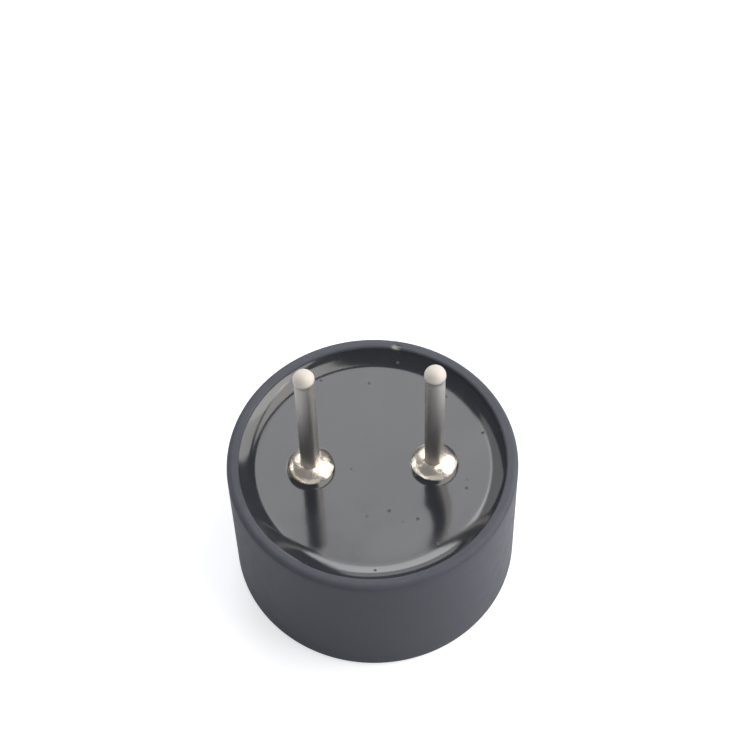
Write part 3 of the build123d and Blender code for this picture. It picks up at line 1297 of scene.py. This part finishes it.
FINISHES: tuple[Finish, ...] = (
    MouldedPlastic("case_plastic", (0.073, 0.077, 0.093), (0.079, 0.083, 0.099)),
    CuredResin("resin"),
    TarnishedMetal(
        "tinned_pin", (0.59, 0.57, 0.54), (0.51, 0.49, 0.46),
        # The pin's top end is painted paler as a highlight.
        drawn=8.0, roughness=(0.38, 0.50), dipped=(13.05, 13.25),
    ),
    TarnishedMetal("solder", (0.97, 0.90, 0.79), (0.86, 0.73, 0.59), cloud_size=0.5, roughness=(0.24, 0.34)),
    TarnishedMetal("brass_plate", (0.80, 0.60, 0.28), (0.58, 0.42, 0.20), cloud_size=1.5),
    TarnishedMetal("copper_lead", (0.78, 0.36, 0.18), (0.52, 0.23, 0.12), drawn=4.0),
    FilledSolid("silvered_ceramic", (0.70, 0.70, 0.68), (0.84, 0.84, 0.82), 0.05, 0.003, (0.3, 0.45)),
    FilledSolid("bonding_rubber", (0.66, 0.65, 0.61), (0.78, 0.77, 0.73), 0.12, 0.010, (0.4, 0.55)),
    FilledSolid(
        "board_laminate", (0.34, 0.29, 0.14), (0.50, 0.44, 0.24), 0.08, 0.006, (0.35, 0.5), weave_size=0.5
    ),
    MouldedPlastic("package_plastic", (0.020, 0.020, 0.021), (0.032, 0.032, 0.033), grain_size=0.06),
    FilledSolid("chip_ceramic", (0.04, 0.04, 0.045), (0.07, 0.07, 0.075), 0.05, 0.002, (0.2, 0.35)),
)


@dataclass(frozen=True)
class SoftBox:
    """A soft rectangular lamp that looks at the buzzer and fills a window of directions."""

    name: str
    azimuths: Span
    elevations: Span
    radiance: float
    distance: float = 250.0
    colour: Colour = (1.0, 1.0, 1.0)

    def build(self, target: Vector) -> bpy.types.Object:
        """Place the lamp.

        Args:
            target: The point that it looks at, in metres.

        Returns:
            The lamp.
        """
        turn, rise = (math.radians(sum(span) / 2) for span in (self.azimuths, self.elevations))
        half_turn, half_rise = (math.radians(b - a) / 2 for a, b in (self.azimuths, self.elevations))
        side = math.asin(math.sin(half_turn) * math.cos(rise))
        away = Vector((math.cos(turn) * math.cos(rise), math.sin(turn) * math.cos(rise), math.sin(rise)))
        data = bpy.data.lights.new(self.name, "AREA")
        data.shape = "RECTANGLE"
        data.size = 2 * self.distance * MM * math.tan(side)
        data.size_y = 2 * self.distance * MM * math.tan(half_rise)
        data.energy = math.pi * data.size * data.size_y * self.radiance
        data.color = self.colour
        lamp = bpy.data.objects.new(self.name, data)
        lamp.location = target + away * self.distance * MM
        lamp.rotation_euler = away.to_track_quat("Z", "Y").to_euler()
        lamp.visible_camera = False
        bpy.context.scene.collection.objects.link(lamp)
        return lamp


@dataclass(frozen=True)
class Viewpoint:
    """The camera's place and lens."""

    eye: tuple[float, float, float] = (0.22, -43.17, 79.71)
    elevation: float = 56.98
    roll: float = -1.81
    lens: float = 98.9
    sensor: float = 36.0
    clip: Span = (5.0, 5000.0)

    def build(self) -> bpy.types.Object:
        """Make the scene's camera.

        Returns:
            The camera.
        """
        rise, roll = math.radians(self.elevation), math.radians(self.roll)
        back = Vector((0.0, -math.cos(rise), math.sin(rise)))
        side = Vector((1.0, 0.0, 0.0))
        above = back.cross(side)
        right = math.cos(roll) * side + math.sin(roll) * above
        up = math.cos(roll) * above - math.sin(roll) * side
        data = bpy.data.cameras.new("camera")
        data.lens, data.sensor_width = self.lens, self.sensor
        data.clip_start, data.clip_end = (end * MM for end in self.clip)
        camera = bpy.data.objects.new("camera", data)
        turn = Matrix((right, up, back)).transposed().to_4x4()
        camera.matrix_world = Matrix.Translation(Vector(self.eye) * MM) @ turn
        bpy.context.scene.collection.objects.link(camera)
        bpy.context.scene.camera = camera
        return camera


@dataclass(frozen=True)
class Studio:
    """White table, soft lamps and a grey room."""

    table_size: float = 3000.0
    table_colour: Colour = (0.60, 0.61, 0.64)
    table_glow: Colour = (0.08, 0.09, 0.10)
    table_white: Colour = (0.64, 0.64, 0.64)
    room_colour: Colour = (0.195, 0.20, 0.215)
    lamps: tuple[SoftBox, ...] = (
        SoftBox("back_window", (80, 112), (8, 64), 1.5),
        SoftBox("back_window_pane", (79, 110), (26, 64), 1.4),
        SoftBox("back_window_core", (82, 110), (28, 52), 2.0),
        SoftBox("back_wall", (110, 140), (20, 60), 1.2),
        SoftBox("right_window", (-36, 35), (2, 60), 3.2, colour=(1.0, 0.98, 0.95)),
        SoftBox("right_window_core", (-25, 16), (32, 60), 1.5, colour=(1.0, 0.98, 0.95)),
        SoftBox("skylight", (-40, 84), (60, 82), 3.4, colour=(1.0, 0.97, 0.92)),
        SoftBox("left_window", (148, 170), (0, 12), 4.0),
        SoftBox("left_wall", (175, 240), (0, 14), 1.3),
        SoftBox("front_wall", (-125, -55), (6, 36), 0.36, colour=(1.0, 0.97, 0.92)),
    )

    def build(self) -> None:
        """Set up everything that isn't the object."""
        scene = bpy.context.scene
        scene.view_settings.view_transform = "Standard"
        world = bpy.data.worlds.new("grey_room")
        world.use_nodes = True
        world.node_tree.nodes["Background"].inputs["Color"].default_value = (*self.room_colour, 1.0)
        scene.world = world
        target = Vector((0.0, 0.0, Extent.of("case").high.z * MM))
        for lamp in self.lamps:
            lamp.build(target)
        self.table()
        Viewpoint().build()

    def table(self) -> None:
        """White table top that keeps the buzzer's shadow."""
        half = self.table_size * MM / 2
        level = CAD_BOX[0].z
        mesh = bpy.data.meshes.new("table")
        corners = [(-half, -half, level), (half, -half, level), (half, half, level), (-half, half, level)]
        mesh.from_pydata(corners, [], [(0, 1, 2, 3)])
        table = bpy.data.objects.new("table", mesh)
        bpy.context.scene.collection.objects.link(table)
        mesh.materials.append(self.table_material())

    def table_material(self) -> bpy.types.Material:
        """White surface that glows for the camera and in reflections, over a plain diffuse one.

        Returns:
            The material.
        """
        material = bpy.data.materials.new("white_table")
        material.use_nodes = True
        graph = Graph(material.node_tree)
        graph.tree.nodes.clear()
        diffuse = graph.out("ShaderNodeBsdfDiffuse", {"Color": (*self.table_colour, 1.0)})
        path = graph.add("ShaderNodeLightPath").outputs
        seen = graph.math("MAXIMUM", path["Is Camera Ray"], path["Is Glossy Ray"])
        seen = graph.math("MAXIMUM", seen, path["Is Transmission Ray"])
        colour = graph.blend(path["Is Camera Ray"], self.table_glow, self.table_white)
        glow = graph.out("ShaderNodeEmission", {"Color": colour, "Strength": seen})
        both = graph.out("ShaderNodeAddShader", {0: diffuse, 1: glow})
        graph.add("ShaderNodeOutputMaterial", {"Surface": both})
        return material


def dress_inner_nodes(materials: dict[str, bpy.types.Material]) -> None:
    """Give every CAD node that stays its finish.

    Args:
        materials: The finishes by slot.
    """
    for row in frame["record"]["subparts"]:
        piece = frame["nodes"][row["node"]]
        if piece.hide_render:
            continue
        piece.data.materials.clear()
        piece.data.materials.append(materials[row["material_slot"]])
        LOG.info("dressed %s as %s", row["node"], row["material_slot"])


def main() -> None:
    """Build the pieces in order, dress them and set up the studio."""
    logging.basicConfig(level=logging.INFO, format="%(name)s: %(message)s")
    effects = EffectLibrary()
    materials = {finish.slot: finish.material(effects) for finish in FINISHES}
    parts: list[TurnedPiece] = [Case(), ResinPool()]
    for polarity in Polarity:
        word = polarity.word
        parts.append(Pin(f"{word}_tinned_pin", f"{word}_pin", "tinned_pin", polarity=polarity))
        parts.append(SolderDome(f"{word}_solder_dome", f"{word}_solder", "solder", polarity=polarity))
    for part in parts:
        piece = part.build(materials[part.slot])
        LOG.info("built %s with %d faces", piece.name, len(piece.data.polygons))
    dress_inner_nodes(materials)
    Studio().build()


if __name__ == "__main__":
    main()
